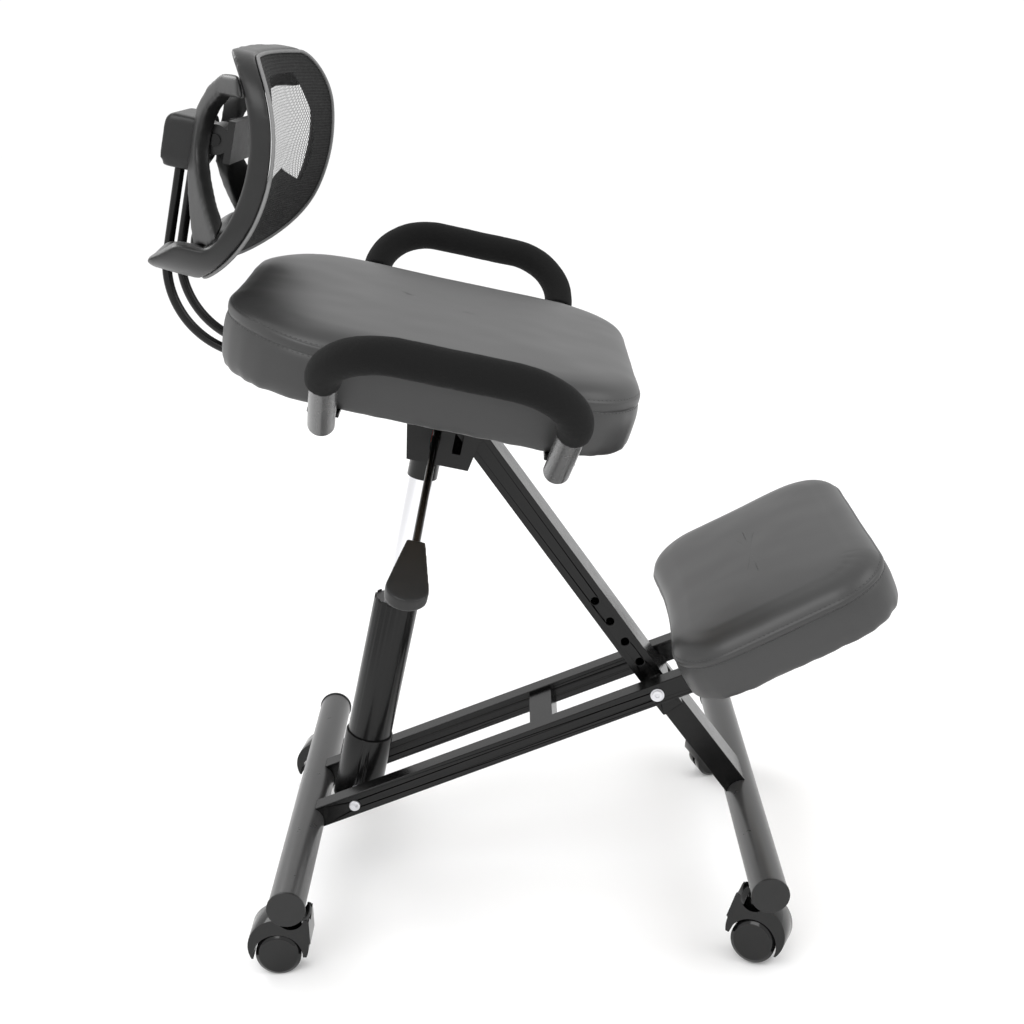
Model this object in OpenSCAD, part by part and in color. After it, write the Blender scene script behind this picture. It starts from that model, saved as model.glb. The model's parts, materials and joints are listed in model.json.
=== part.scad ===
// Kneeling chair with a gas-lift seat, armrest handles and a mesh back rest.
// Millimetres. +X is the way the sitter faces, +Y is the sitter's left, +Z is up.
// The floor is Z = 0 and the origin lies midway between the two crossbars.

/* [Stance] */
// Distance between the rear and front crossbar axes
wheelbase = 498; // [420:1:600]
// Length of each crossbar without its end caps
crossbar_len = 448; // [370:1:540]
// Outside diameter of the crossbars
crossbar_d = 38; // [32:0.5:46]
// Wall of the crossbar tube
crossbar_wall = 2; // [1.2:0.1:3]
// Distance from the middle to each caster stem
caster_y = 190; // [150:1:250]
// Place of the base middle ahead of the origin
base_x = -17; // [-80:0.5:80]

/* [Rails] */
// Slope of the two rails
rail_slope = 20.4; // [14:0.1:26]
// Length of the rails from the rear crossbar axis
rail_len = 590; // [560:1:700]
// Clear gap between the two rails
rail_gap = 76; // [70:1:100]
// Width of one rail
rail_w = 20; // [15:0.5:30]
// Height of one rail
rail_h = 25; // [20:0.5:32]
// Wall of the rail tube
rail_wall = 1.5; // [1.2:0.1:3]
// Place of the seat beam pivot along the rail
pivot_along = 422.5; // [380:0.5:460]
// Place of the gas lift pivot along the rail
socket_along = 58.5; // [52:0.5:90]
// Place of the cross brace along the rail
brace_along = 288; // [200:1:340]
// Width of the cross brace
brace_w = 27; // [20:1:40]

/* [Seat beam and leg] */
// Width of the seat beam and front leg tube
beam_w = 50; // [40:1:60]
// Depth of the seat beam and front leg tube
beam_h = 26; // [20:0.5:34]
// Wall of the seat beam tube
beam_wall = 2; // [1.5:0.1:3]
// Distance between the adjustment holes
hole_pitch = 30; // [24:1:40]
// Number of adjustment holes
hole_count = 5; // [3:1:6]
// Diameter of the pivot bolts
bolt_d = 8; // [6:0.5:10]
// Diameter of the pivot pin under the seat
seat_pin_d = 10; // [8:0.5:14]
// Play of the beam on the pin under the seat
seat_pin_play = 1.5; // [1.2:0.1:2.5]

/* [Gas lift] */
// Tilt of the gas lift from upright
lift_tilt = 13.6; // [8:0.1:20]
// Distance from the lower pivot to the seat bracket datum
lift_len = 438; // [410:1:530]
// Outside diameter of the outer tube
tube_d = 50; // [45:1:56]
// Height of the outer tube top above the lower pivot
tube_top = 234; // [220:1:250]
// Diameter of the chrome column
column_d = 28; // [25:0.5:32]
// Stroke of the gas lift
lift_stroke = 85; // [60:1:90]
// Diameter of the piston rod
rod_d = 10; // [8:0.5:12]
// Wall of the lower socket
socket_wall = 2; // [1.5:0.1:4]

/* [Seat] */
// Seat cushion length, front to back
seat_len = 414; // [330:1:480]
// Seat cushion width
seat_w = 400; // [330:1:480]
// Seat cushion height
seat_h = 75; // [60:1:95]
// Corner radius of the seat in plan
seat_corner = 96; // [60:1:130]
// Thickness of the plywood boards
board_t = 12; // [9:1:18]
// Height of the seat board underside above the bracket datum
board_w0 = 55; // [50:1:70]

/* [Knee pad] */
// Knee pad length, along the slope
knee_len = 245; // [200:1:300]
// Knee pad width
knee_w = 334; // [270:1:400]
// Knee pad height
knee_h = 75; // [60:1:95]
// Extra slope of the knee pad over the rails
knee_pitch = 5.6; // [3:0.1:9]
// Corner radius of the knee pad in plan
knee_corner = 60; // [40:1:80]

/* [Handles] */
// Diameter of the handle tube
handle_d = 26; // [20:0.5:28]
// Wall of the handle tube
handle_wall = 1.5; // [1.2:0.1:2.5]
// Distance between the two legs of a handle
handle_span = 226; // [210:1:300]
// Middle of the handle, ahead of the gas lift axis
handle_u = 10; // [-20:1:40]
// Distance from the middle to the foot of each handle leg
handle_y = 205; // [180:1:240]
// Length of the sloping handle legs
handle_rise = 154; // [130:1:200]
// Slope of the handle legs from level
handle_slope = 41.9; // [30:0.1:60]
// Bend radius of the handle corners
handle_bend = 66; // [50:1:75]
// Length of the foam grip below the handle corners
grip_leg = 4; // [2:1:30]
// Outside diameter of the foam grip
grip_d = 33; // [29:0.5:40]

/* [Back rest] */
// Diameter of the two back bars
bar_d = 10; // [8:0.5:12]
// Distance between the two back bars
bar_gap = 50; // [36:1:60]
// Back rest width
back_w = 300; // [250:1:360]
// Back rest height
back_h = 226; // [190:1:270]
// Radius of the curved front of the back rest
back_r = 184; // [170:1:230]
// Thickness of the back frame
back_t = 20; // [14:1:26]
// Width of the back frame band
back_band = 14; // [10:1:22]
// Radius of the back rest seen from above
back_wrap = 520; // [400:10:900]
// Turn of the back rest away from square
back_yaw = 4; // [0:0.5:6]

/* [Casters] */
// Height from the floor to the underside of a crossbar
caster_h = 75; // [70:1:95]
// Wheel diameter
wheel_d = 48; // [40:1:54]
// Width of one wheel
wheel_w = 13; // [10:0.5:16]
// Distance from the swivel axis to the axle
caster_trail = 16; // [10:0.5:20]
// Lean of the front caster stems
front_lean = 20; // [0:1:25]
// Diameter of the caster stem
stem_d = 11; // [9:0.5:13]

/* [Output] */
// Sub-part to draw

/* [Hidden] */
$fn = 64;
run = 0.05;                                  // radial clearance of a running fit
eps = 0.01;
crossbar_z = caster_h + crossbar_d / 2;
rear_x = base_x - wheelbase / 2;
front_x = base_x + wheelbase / 2;
rail_y = rail_gap / 2;
rail_out = rail_y + rail_w;
pivot_x = rear_x + pivot_along * cos(rail_slope);
pivot_z = crossbar_z + pivot_along * sin(rail_slope);
socket_x = rear_x + socket_along * cos(rail_slope);
socket_z = crossbar_z + socket_along * sin(rail_slope);
datum_x = socket_x + lift_len * sin(lift_tilt);
datum_z = socket_z + lift_len * cos(lift_tilt);
pin_u = 20.6;                                // seat pin, ahead of the gas lift axis
pin_w = 27;                                  // seat pin, above the bracket datum
pin_x = datum_x + pin_u * cos(lift_tilt) + pin_w * sin(lift_tilt);
pin_z = datum_z - pin_u * sin(lift_tilt) + pin_w * cos(lift_tilt);
beam_len = sqrt(pow(pin_x - pivot_x, 2) + pow(pin_z - pivot_z, 2));
beam_up = atan2(pin_z - pivot_z, pin_x - pivot_x);
leg_len = sqrt(pow(front_x - pivot_x, 2) + pow(crossbar_z - pivot_z, 2));
leg_down = atan2(crossbar_z - pivot_z, front_x - pivot_x);
end_reach = beam_h / 2 + 2;
end_swing = sqrt(pow(beam_h / 2, 2) + pow(end_reach, 2));
leg_start = end_swing + 0.8;
tube_r = tube_d / 2;
column_r = column_d / 2;
column_top = lift_len - 14;
column_end = tube_top - 94;
bush_end = tube_top - 2;
bush_start = tube_top - 82;
piston_at = column_end + 14;
plate_w0 = -28;                              // underside of the seat bracket
cheek_y = 45;
cheek_t = 3;
flange_t = 3;
lever_u = 6;
lever_d = 8;
lever_drop = 15.4;
button_d = 9;
handle_w = board_w0 - 10;
foot_t = 5;
bar_u = -299;
bar_w0 = board_w0 - 13;
bar_bend = 88;
clamp_w = bar_w0 - bar_d / 2 - 4;
bar_y = bar_gap / 2;
housing_w0 = 217;
housing_h = 54;
bar_top = housing_w0 + 38;
tilt_u = -262;
tilt_w = 256;
arc_u = -206 - back_r;
lip_gap = bar_gap / 2 + bar_d / 2 + 16;      // half of the gap in the bottom rail's lip
wrap_u = arc_u + back_r + back_wrap;         // upright axis the back rest curves around
arc_w = 250;
back_in = back_r - back_t;
back_w0 = 123;
hub_y = 52;
// heads of the tilt pin, and the room that the struts leave round them
pin_head_d = 12;
pin_head_h = 2.5;
pin_head_gap = 1;
lug_y = 14;
seat_u = -12.5;
slot_w = lever_d + 1.4;
cap_t = 3;
cap_d = crossbar_d + 2;
wheel_r = wheel_d / 2;
axle_d = 6;
hood_in = wheel_r + 2;
hood_out = wheel_r + 8;
hood_y = wheel_w + 4;
swivel = [180, 172, -25, 24];                // rest turns of the casters: RN, RF, FN, FF

// ---------- frames ----------
module at_rail() { translate([rear_x, 0, crossbar_z]) rotate([0, -rail_slope, 0]) children(); }
module at_socket() { translate([socket_x, 0, socket_z]) rotate([0, lift_tilt, 0]) children(); }
// the back rest and its bars sit a little askew under the seat
module askew() { translate([-160, 0, 0]) rotate([0, 0, -back_yaw]) translate([160, 0, 0]) children(); }
module at_back() { at_seat() askew() children(); }
module at_seat() { translate([datum_x, 0, datum_z]) rotate([0, lift_tilt, 0]) children(); }
module at_pivot(a) { translate([pivot_x, 0, pivot_z]) rotate([0, -a, 0]) children(); }
module at_knee() {
    at_rail() translate([pivot_along + 40, 0, rail_h / 2]) rotate([0, -knee_pitch, 0]) children();
}
module sides() {
    children();
    mirror([0, 1, 0]) children();
}
// round bar along Y, centred on the middle plane
module ybar(d, len) { rotate([90, 0, 0]) cylinder(d = d, h = len, center = true); }
module ring(od, id, h) {
    difference() {
        cylinder(d = od, h = h);
        translate([0, 0, -1]) cylinder(d = id, h = h + 2);
    }
}
// rectangular tube along X
module box_tube(x0, x1, w, h, wall) {
    difference() {
        translate([x0, -w / 2, -h / 2]) cube([x1 - x0, w, h]);
        translate([x0 - 1, -w / 2 + wall, -h / 2 + wall])
            cube([x1 - x0 + 2, w - 2 * wall, h - 2 * wall]);
    }
}
module round_rect(x0, x1, y0, y1, r) {
    translate([x0 + r, y0]) square([x1 - x0 - 2 * r, y1 - y0]);
    translate([x0, y0 + r]) square([x1 - x0, y1 - y0 - 2 * r]);
    for (x = [x0 + r, x1 - r], y = [y0 + r, y1 - r]) translate([x, y]) circle(r);
}
// a padded slab: rounded in plan and along its upper and lower edges
module pad(len, w, h, corner, top_r, low_r) {
    intersection() {
        linear_extrude(height = h) round_rect(-len / 2, len / 2, -w / 2, w / 2, corner);
        rotate([90, 0, 0]) linear_extrude(height = w + 2, center = true)
            pad_side(len, h, top_r, low_r);
        rotate([90, 0, 90]) linear_extrude(height = len + 2, center = true)
            pad_side(w, h, top_r, low_r);
    }
}
module pad_side(len, h, top_r, low_r) {
    translate([-len / 2 + top_r, low_r]) square([len - 2 * top_r, h - low_r]);
    translate([-len / 2 + low_r, 0]) square([len - 2 * low_r, low_r + 1]);
    translate([-len / 2, low_r]) square([len, h - low_r - top_r]);
    for (x = [-1, 1]) {
        translate([x * (len / 2 - top_r), h - top_r]) circle(top_r);
        translate([x * (len / 2 - low_r), low_r]) circle(low_r);
    }
}

// ---------- base ----------
module crossbar(x, lean) {
    difference() {
        translate([x, 0, crossbar_z]) ybar(crossbar_d, crossbar_len);
        translate([x, 0, crossbar_z])
            ybar(crossbar_d - 2 * crossbar_wall, crossbar_len + 2);
        for (y = [-caster_y, caster_y]) translate([x, y, crossbar_z]) rotate([180, lean, 0])
            translate([0, 0, crossbar_d / 2 - crossbar_wall - 3])
                cylinder(d = stem_d + 2 * run, h = crossbar_wall + 6);
    }
}
module rear_crossbar() { color("dimgray") crossbar(rear_x, 0); }
module front_crossbar() { color("dimgray") crossbar(front_x, front_lean); }
module caps(x) {
    sides() translate([x, -crossbar_len / 2, crossbar_z]) rotate([90, 0, 0]) {
        cylinder(d = cap_d, h = cap_t);
        translate([0, 0, -14]) cylinder(d = crossbar_d - 2 * crossbar_wall, h = 14);
    }
}
module rear_caps() { color("gray") caps(rear_x); }
module front_caps() { color("gray") caps(front_x); }
module rail() {
    difference() {
        at_rail() translate([0, -rail_y - rail_w / 2, 0])
            box_tube(2, rail_len, rail_w, rail_h, rail_wall);
        translate([rear_x, 0, crossbar_z]) ybar(crossbar_d, crossbar_len);
        for (a = [pivot_along, socket_along]) at_rail() translate([a, 0, 0])
            ybar(bolt_d, 2 * rail_out + 10);
    }
}
module near_rail() { color("dimgray") rail(); }
module far_rail() { color("dimgray") mirror([0, 1, 0]) rail(); }
module cross_brace() {
    color("dimgray") at_rail() translate([brace_along, 0, -1]) difference() {
        cube([brace_w, rail_gap, rail_h - 6], center = true);
        cube([brace_w - 4, rail_gap + 2, rail_h - 10], center = true);
    }
}
module front_leg() {
    color("dimgray") difference() {
        at_pivot(leg_down) box_tube(leg_start, leg_len, beam_w, beam_h, beam_wall);
        translate([front_x, 0, crossbar_z]) ybar(crossbar_d, crossbar_len);
    }
}
// plates that join the leg to the inner faces of the rails
module leg_cheeks() {
    cheek = rail_y - beam_w / 2;
    color("dimgray") difference() {
        sides() at_pivot(leg_down) {
            translate([0, -rail_y, 0]) rotate([-90, 0, 0]) cylinder(d = beam_h, h = cheek);
            translate([0, -rail_y, -beam_h / 2]) cube([leg_start + 14, cheek, beam_h]);
        }
        at_pivot(0) ybar(bolt_d, 2 * rail_out);
    }
}
module hex_bolt(len, d) {
    translate([0, 0, -len / 2]) cylinder(d = d, h = len);
    for (s = [-1, 1]) translate([0, 0, s * (len / 2 + 1.6)]) difference() {
        cylinder(d = d * 1.55, h = 3.2, center = true);
        translate([0, 0, s * 1]) cylinder(d = d * 0.6, h = 2, center = true, $fn = 6);
    }
}
module pivot_bolt() {
    color("silver") at_rail() translate([pivot_along, 0, 0]) rotate([90, 0, 0])
        hex_bolt(2 * rail_out, bolt_d);
}
module socket_bolt() {
    color("silver") at_rail() translate([socket_along, 0, 0]) rotate([90, 0, 0])
        hex_bolt(2 * rail_out, bolt_d);
}
// thin washers each side of the beam end, inside the cheeks
module pivot_spacers() {
    color("silver") at_pivot(0) sides() translate([0, -rail_out - 0.01, 0]) rotate([90, 0, 0])
        translate([0, 0, -0.01]) ring(bolt_d * 1.9, bolt_d * 1.56, 1.2);
}
module socket_spacers() {
    gap = rail_y - tube_r - socket_wall - 0.3;
    color("silver") at_socket() sides() translate([0, -rail_y, 0]) rotate([-90, 0, 0])
        ring(bolt_d * 2, bolt_d, gap);
}
module knee_wedges() {
    a0 = pivot_along + 52;
    a1 = rail_len - 4;
    t0 = (a0 - pivot_along - 40) * tan(knee_pitch);
    t1 = (a1 - pivot_along - 40) * tan(knee_pitch);
    side = [[a0, 0], [a1, 0], [a1, t1], [a0, t0]];
    color("dimgray") at_rail() sides() translate([0, -rail_y, rail_h / 2]) rotate([90, 0, 0])
        linear_extrude(height = rail_w) polygon(side);
}
module knee_holes(d, h) {
    for (x = [42, 102], y = [-1, 1]) translate([x, y * (rail_out + 14), 0])
        cylinder(d = d, h = h);
}
module knee_plate() {
    color("dimgray") at_knee() difference() {
        translate([22, -rail_out - 26, 0]) cube([100, 2 * rail_out + 52, 3]);
        translate([0, 0, -1]) knee_holes(6, 5);
    }
}
module knee_board() {
    color("burlywood") at_knee() difference() {
        translate([knee_len / 2 - 3, 0, 3]) linear_extrude(height = board_t)
            round_rect(-knee_len / 2 + 12, knee_len / 2 - 12, -knee_w / 2 + 12, knee_w / 2 - 12,
                knee_corner - 12);
        translate([0, 0, 2]) knee_holes(6, 10);
    }
}
module knee_cushion() {
    color("black") at_knee() translate([knee_len / 2 - 3, 0, 3]) difference() {
        pad(knee_len, knee_w, knee_h - 3, knee_corner, 30, 8);
        translate([0, 0, -1]) linear_extrude(height = board_t + 1)
            round_rect(-knee_len / 2 + 12, knee_len / 2 - 12, -knee_w / 2 + 12, knee_w / 2 - 12,
                knee_corner - 12);
    }
}
module knee_screws() {
    color("silver") at_knee() {
        knee_holes(6, 11);
        translate([0, 0, -3]) knee_holes(11, 3);
    }
}

// ---------- gas lift, lower part ----------
module gas_socket() {
    color("dimgray") at_socket() difference() {
        translate([0, 0, -20]) ring(tube_d + 2 * socket_wall, tube_d, 84);
        ybar(bolt_d + 2 * run, 100);
    }
}
module socket_plug() {
    color("black") at_socket() difference() {
        translate([0, 0, -20]) cylinder(d = tube_d, h = 29);
        ybar(bolt_d + 2 * run, 100);
    }
}
module outer_tube() {
    color("black") at_socket() {
        difference() {
            translate([0, 0, 9]) ring(tube_d, tube_d - 4, tube_top - 9);
            for (a = [0:30:330]) rotate([0, 0, a + 15]) translate([tube_r, 0, tube_top])
                cube([9, 5, 5], center = true);
        }
        translate([0, 0, 12]) ring(tube_d - 4, rod_d, 4);
    }
}
module guide_bush() {
    color("black") at_socket() translate([0, 0, bush_start])
        ring(tube_d - 4, column_d + 2 * run, bush_end - bush_start);
}
module piston_rod() {
    color("silver") at_socket() {
        translate([0, 0, 10]) cylinder(d = rod_d, h = piston_at - 10);
        translate([0, 0, piston_at]) cylinder(d = column_d - 4 - 2 * run, h = 12);
    }
}

// ---------- seat beam ----------
module seat_beam() {
    top = beam_len + end_reach;
    color("dimgray") difference() {
        at_pivot(beam_up) box_tube(-end_reach, top, beam_w, beam_h, beam_wall);
        at_pivot(beam_up) ybar(bolt_d + 2 * run, 100);
        for (i = [1:hole_count - 1]) at_pivot(beam_up) translate([i * hole_pitch, 0, 0])
            ybar(bolt_d + 1, 100);
        at_pivot(beam_up) translate([beam_len, 0, 0])
            ybar(seat_pin_d + 2 * seat_pin_play, 100);
    }
}

// ---------- seat ----------
module seat_holes(d, h) {
    for (x = [-58, 78], y = [-1, 1]) translate([x, y * 76, 0]) cylinder(d = d, h = h);
}
module seat_bracket() {
    side = [[-20, plate_w0], [46, plate_w0], [60, board_w0 - flange_t], [-34, board_w0 - flange_t]];
    color("dimgray") at_seat() difference() {
        union() {
            sides() translate([0, -cheek_y + cheek_t, 0]) rotate([90, 0, 0])
                linear_extrude(height = cheek_t) polygon(side);
            translate([-20, -cheek_y, plate_w0]) cube([66, 2 * cheek_y, cheek_t]);
            translate([0, 0, plate_w0 - 30]) cylinder(d = column_d + 5, h = 31);
            translate([-75, -92, board_w0 - flange_t]) cube([170, 184, flange_t]);
        }
        translate([0, 0, plate_w0 - 40]) cylinder(d = column_d, h = 60);
        translate([pin_u, 0, pin_w]) ybar(seat_pin_d, 200);
        translate([lever_u - slot_w / 2, -cheek_y - 1, -12]) cube([slot_w, cheek_t + 2, 22]);
        translate([30 - slot_w / 2, -cheek_y - 1, -12]) cube([slot_w, cheek_t + 2, 22]);
        translate([0, 0, board_w0 - flange_t - 1]) seat_holes(6, 5);
    }
}
module column() {
    color("silver") at_socket() difference() {
        translate([0, 0, column_end]) cylinder(d = column_d, h = column_top - column_end);
        translate([0, 0, column_end - 1])
            cylinder(d = column_d - 4, h = column_top - column_end - 11);
        translate([0, 0, column_top - 10]) cylinder(d = button_d + 2 * run, h = 20);
    }
}
module column_seal() {
    color("black") at_socket() translate([0, 0, column_end])
        ring(column_d - 4, rod_d + 2 * run, 10);
}
module seat_pin() {
    color("silver") at_seat() translate([pin_u, 0, pin_w]) {
        ybar(seat_pin_d, 2 * cheek_y + 6);
        sides() translate([0, -cheek_y - 3, 0]) rotate([90, 0, 0])
            cylinder(d = seat_pin_d + 6, h = 3);
    }
}
module seat_plan(inset) {
    round_rect(seat_u - seat_len / 2 + inset, seat_u + seat_len / 2 - inset,
        -seat_w / 2 + inset, seat_w / 2 - inset, seat_corner - inset);
}
module seat_board() {
    color("burlywood") at_seat() difference() {
        translate([0, 0, board_w0]) linear_extrude(height = board_t) seat_plan(14);
        translate([0, 0, board_w0 - 1]) seat_holes(6, 10);
        translate([0, 0, board_w0 - 1]) sides() foot_holes(5, 10);
        askew() translate([0, 0, board_w0 - 1]) clamp_holes(5, 10);
    }
}
module seat_cushion() {
    color("black") at_seat() difference() {
        translate([seat_u, 0, board_w0]) pad(seat_len, seat_w, seat_h, seat_corner, 30, 9);
        translate([0, 0, board_w0 - 1]) linear_extrude(height = board_t + 1) seat_plan(14);
    }
}
module seat_screws() {
    color("silver") at_seat() {
        translate([0, 0, board_w0 - flange_t]) seat_holes(6, 11);
        translate([0, 0, board_w0 - flange_t - 3]) seat_holes(11, 3);
        translate([0, 0, board_w0 - foot_t]) sides() foot_holes(5, foot_t + 8);
        translate([0, 0, board_w0 - foot_t - 3]) sides() foot_holes(9, 3);
        askew() translate([0, 0, clamp_w]) clamp_holes(5, board_w0 - clamp_w + 8);
        askew() translate([0, 0, clamp_w - 3]) clamp_holes(9, 3);
    }
}

// ---------- handles ----------
// a bent piece of round bar: turns from +X towards +Y in its own plane
module bend(d, r, turn) { rotate_extrude(angle = turn) translate([r, 0]) circle(d = d); }
module at_loop() {
    translate([handle_u, handle_y, handle_w]) rotate([handle_slope, 0, 0]) children();
}
// the sloping loop of the far handle, from its legs over the top
module loop_path(d, legs) {
    half = handle_span / 2;
    for (s = [-1, 1]) translate([s * half, handle_rise - handle_bend - legs, 0])
        rotate([-90, 0, 0]) cylinder(d = d, h = legs);
    translate([half - handle_bend, handle_rise - handle_bend, 0]) bend(d, handle_bend, 90);
    translate([handle_bend - half, handle_rise - handle_bend, 0]) rotate([0, 0, 90])
        bend(d, handle_bend, 90);
    translate([handle_bend - half, handle_rise, 0]) rotate([0, 90, 0])
        cylinder(d = d, h = handle_span - 2 * handle_bend);
}
module handle_tube() {
    legs = handle_rise - handle_bend + 8;
    at_seat() at_loop() difference() {
        loop_path(handle_d, legs);
        loop_path(handle_d - 2 * handle_wall, legs + 1);
    }
}
module foot_holes(d, h) {
    for (s = [-1, 1], y = [126, 160]) translate([handle_u + s * handle_span / 2, y, 0])
        cylinder(d = d, h = h);
}
// flat lugs that hold the handle tubes under the board
module handle_feet() {
    color("dimgray") at_seat() sides() difference() {
        for (s = [-1, 1]) translate([handle_u + s * handle_span / 2 - 15, 112, board_w0 - foot_t])
            cube([30, handle_y - 112, foot_t]);
        at_loop() loop_path(handle_d, handle_rise);
        translate([0, 0, board_w0 - foot_t - 1]) foot_holes(5, foot_t + 2);
    }
}
module grip() {
    at_seat() at_loop() difference() {
        loop_path(grip_d, grip_leg);
        loop_path(handle_d, grip_leg + 2);
    }
}
module near_handle() { color("silver") mirror([0, 1, 0]) handle_tube(); }
module far_handle() { color("silver") handle_tube(); }
module near_grip() { color("black") mirror([0, 1, 0]) grip(); }
module far_grip() { color("black") grip(); }

// ---------- back bars ----------
module back_bars() {
    bend_u = bar_u + bar_bend;
    color("black") at_back() sides() translate([0, -bar_y, 0]) {
        translate([bar_u, 0, bar_w0 + bar_bend]) cylinder(d = bar_d, h = bar_top - bar_w0 - bar_bend);
        translate([bend_u, 0, bar_w0 + bar_bend]) rotate([90, 0, 0]) rotate([0, 0, 180])
            bend(bar_d, bar_bend, 90);
        translate([bend_u, 0, bar_w0]) rotate([0, 90, 0]) cylinder(d = bar_d, h = 96);
    }
}
module clamp_holes(d, h) {
    for (u = [-180, -140], y = [-1, 1]) translate([u, y * (bar_y + 17), 0])
        cylinder(d = d, h = h);
}
module bar_clamp() {
    color("dimgray") at_back() difference() {
        translate([-192, -bar_y - 26, clamp_w]) cube([64, 2 * bar_y + 52, board_w0 - clamp_w]);
        sides() translate([-200, -bar_y, bar_w0]) rotate([0, 90, 0]) cylinder(d = bar_d, h = 90);
        translate([0, 0, clamp_w - 1]) clamp_holes(5, 40);
    }
}

// ---------- release lever ----------
module at_lever() { at_seat() translate([lever_u, -cheek_y - 1, -1]) children(); }
module lever() {
    color("black") at_lever() {
        rotate([-90, 0, 0]) cylinder(d = lever_d, h = cheek_y + 6);
        rotate([0, 90, 0]) cylinder(d = lever_d + 1, h = slot_w - 1, center = true);
        rotate([90 + lever_drop, 0, 0]) cylinder(d = lever_d, h = 212);
    }
}
module lever_paddle() {
    color("black") at_lever() rotate([lever_drop, 0, 0]) translate([0, -188, 0]) difference() {
        intersection() {
            translate([0, -50, 0]) cube([60, 100, 13], center = true);
            union() {
                cylinder(r = 9, h = 13, center = true);
                translate([0, -72, 0]) cylinder(r = 20, h = 13, center = true);
                linear_extrude(height = 13, center = true)
                    polygon([[-9, 0], [9, 0], [20, -70], [-20, -70]]);
            }
        }
        translate([0, 1, 0]) rotate([90, 0, 0]) cylinder(d = lever_d, h = 25);
    }
}
module release_button() {
    color("red") at_socket() translate([0, 0, column_top - 5]) cylinder(d = button_d, h = 13.4);
}

// ---------- back rest ----------
module slide_housing() {
    color("black") at_back() difference() {
        union() {
            translate([bar_u - 19, -40, housing_w0 + 7]) cube([38, 80, housing_h - 19]);
            translate([bar_u, 0, housing_w0 + housing_h - 12]) intersection() {
                rotate([90, 0, 0]) cylinder(r = 19, h = 80, center = true);
                translate([-19, -40, 0]) cube([38, 80, 12]);
            }
            translate([bar_u - 16, -37, housing_w0]) cube([32, 74, 8]);
            translate([bar_u + 18, -lug_y, tilt_w - 10]) cube([tilt_u - bar_u - 18, 2 * lug_y, 20]);
            translate([tilt_u, 0, tilt_w]) ybar(20, 2 * lug_y);
        }
        for (y = [-bar_y, bar_y]) translate([bar_u, y, housing_w0 - 1])
            cylinder(d = bar_d + 2 * run, h = housing_h - 10);
        translate([tilt_u, 0, tilt_w]) ybar(bolt_d + 2 * run, 60);
    }
}
module back_hub() {
    color("black") at_back() difference() {
        union() {
            sides() translate([tilt_u, -hub_y, tilt_w]) rotate([-90, 0, 0])
                cylinder(d = 30, h = hub_y - lug_y - 1);
            translate([tilt_u + 11, -hub_y, tilt_w - 21]) cube([7, 2 * hub_y, 42]);
        }
        translate([tilt_u, 0, tilt_w]) ybar(bolt_d, 200);
        translate([tilt_u - 10, -lug_y - 1, tilt_w - 30]) cube([21, 2 * lug_y + 2, 60]);
    }
}
module tilt_pin() {
    color("silver") at_back() translate([tilt_u, 0, tilt_w]) {
        ybar(bolt_d, 2 * hub_y);
        sides() translate([0, -hub_y, 0]) rotate([90, 0, 0])
            cylinder(d = pin_head_d, h = pin_head_h);
    }
}
module back_outline(inset) {
    hi = back_w0 + back_h;
    rt = 55 - inset;
    rb = 78 - inset;
    hw = back_w / 2 - inset;
    translate([-hw, back_w0 + inset + rb]) square([2 * hw, back_h - 2 * inset - rb - rt]);
    translate([-hw + rt, hi - inset - rt - 1]) square([2 * (hw - rt), rt + 1]);
    translate([-hw + rb, back_w0 + inset]) square([2 * (hw - rb), rb + 1]);
    for (s = [-1, 1]) {
        translate([s * (hw - rt), hi - inset - rt]) circle(rt);
        translate([s * (hw - rb), back_w0 + inset + rb]) circle(rb);
    }
}
// slab between two radii of the curved back, cut to an outline seen from the front
module shell(r0, r1) {
    intersection() {
        translate([wrap_u, 0, 0]) rotate([0, 0, 150]) rotate_extrude(angle = 60, $fn = 200)
            side_arc(r0, r1);
        translate([arc_u, 0, 0]) rotate([90, 0, 90]) linear_extrude(height = back_r + 40) children();
    }
}
module side_arc(r0, r1) {
    intersection() {
        translate([wrap_u - arc_u, arc_w]) difference() {
            circle(r = r1, $fn = 180);
            if (r0 > 0) circle(r = r0, $fn = 180);
        }
        translate([back_wrap - 20, arc_w - r1 - 10]) square([back_r + 20, 2 * r1 + 20]);
    }
}
module outline_ring(out, in) {
    difference() {
        back_outline(out);
        back_outline(in);
    }
}
// the thicker bottom rail of the back frame, left out where the bars pass behind it
module rim_foot() {
    intersection() {
        outline_ring(1, 26);
        for (x = [-back_w / 2, lip_gap]) translate([x, back_w0]) square([back_w / 2 - lip_gap, 40]);
    }
}
// lip behind the bottom rail, dished on each side
module back_lip() {
    difference() {
        intersection() {
            shell(back_in - 24, back_in + 1) rim_foot();
            translate([-298, -back_w / 2, back_w0 - 10]) cube([120, back_w, 70]);
        }
        sides() translate([-292, -88, back_w0 + 41]) sphere(r = 22);
    }
}
module back_ring() {
    color("black") at_back() {
        shell(back_in, back_r) outline_ring(0, back_band);
        back_lip();
    }
}
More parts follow.
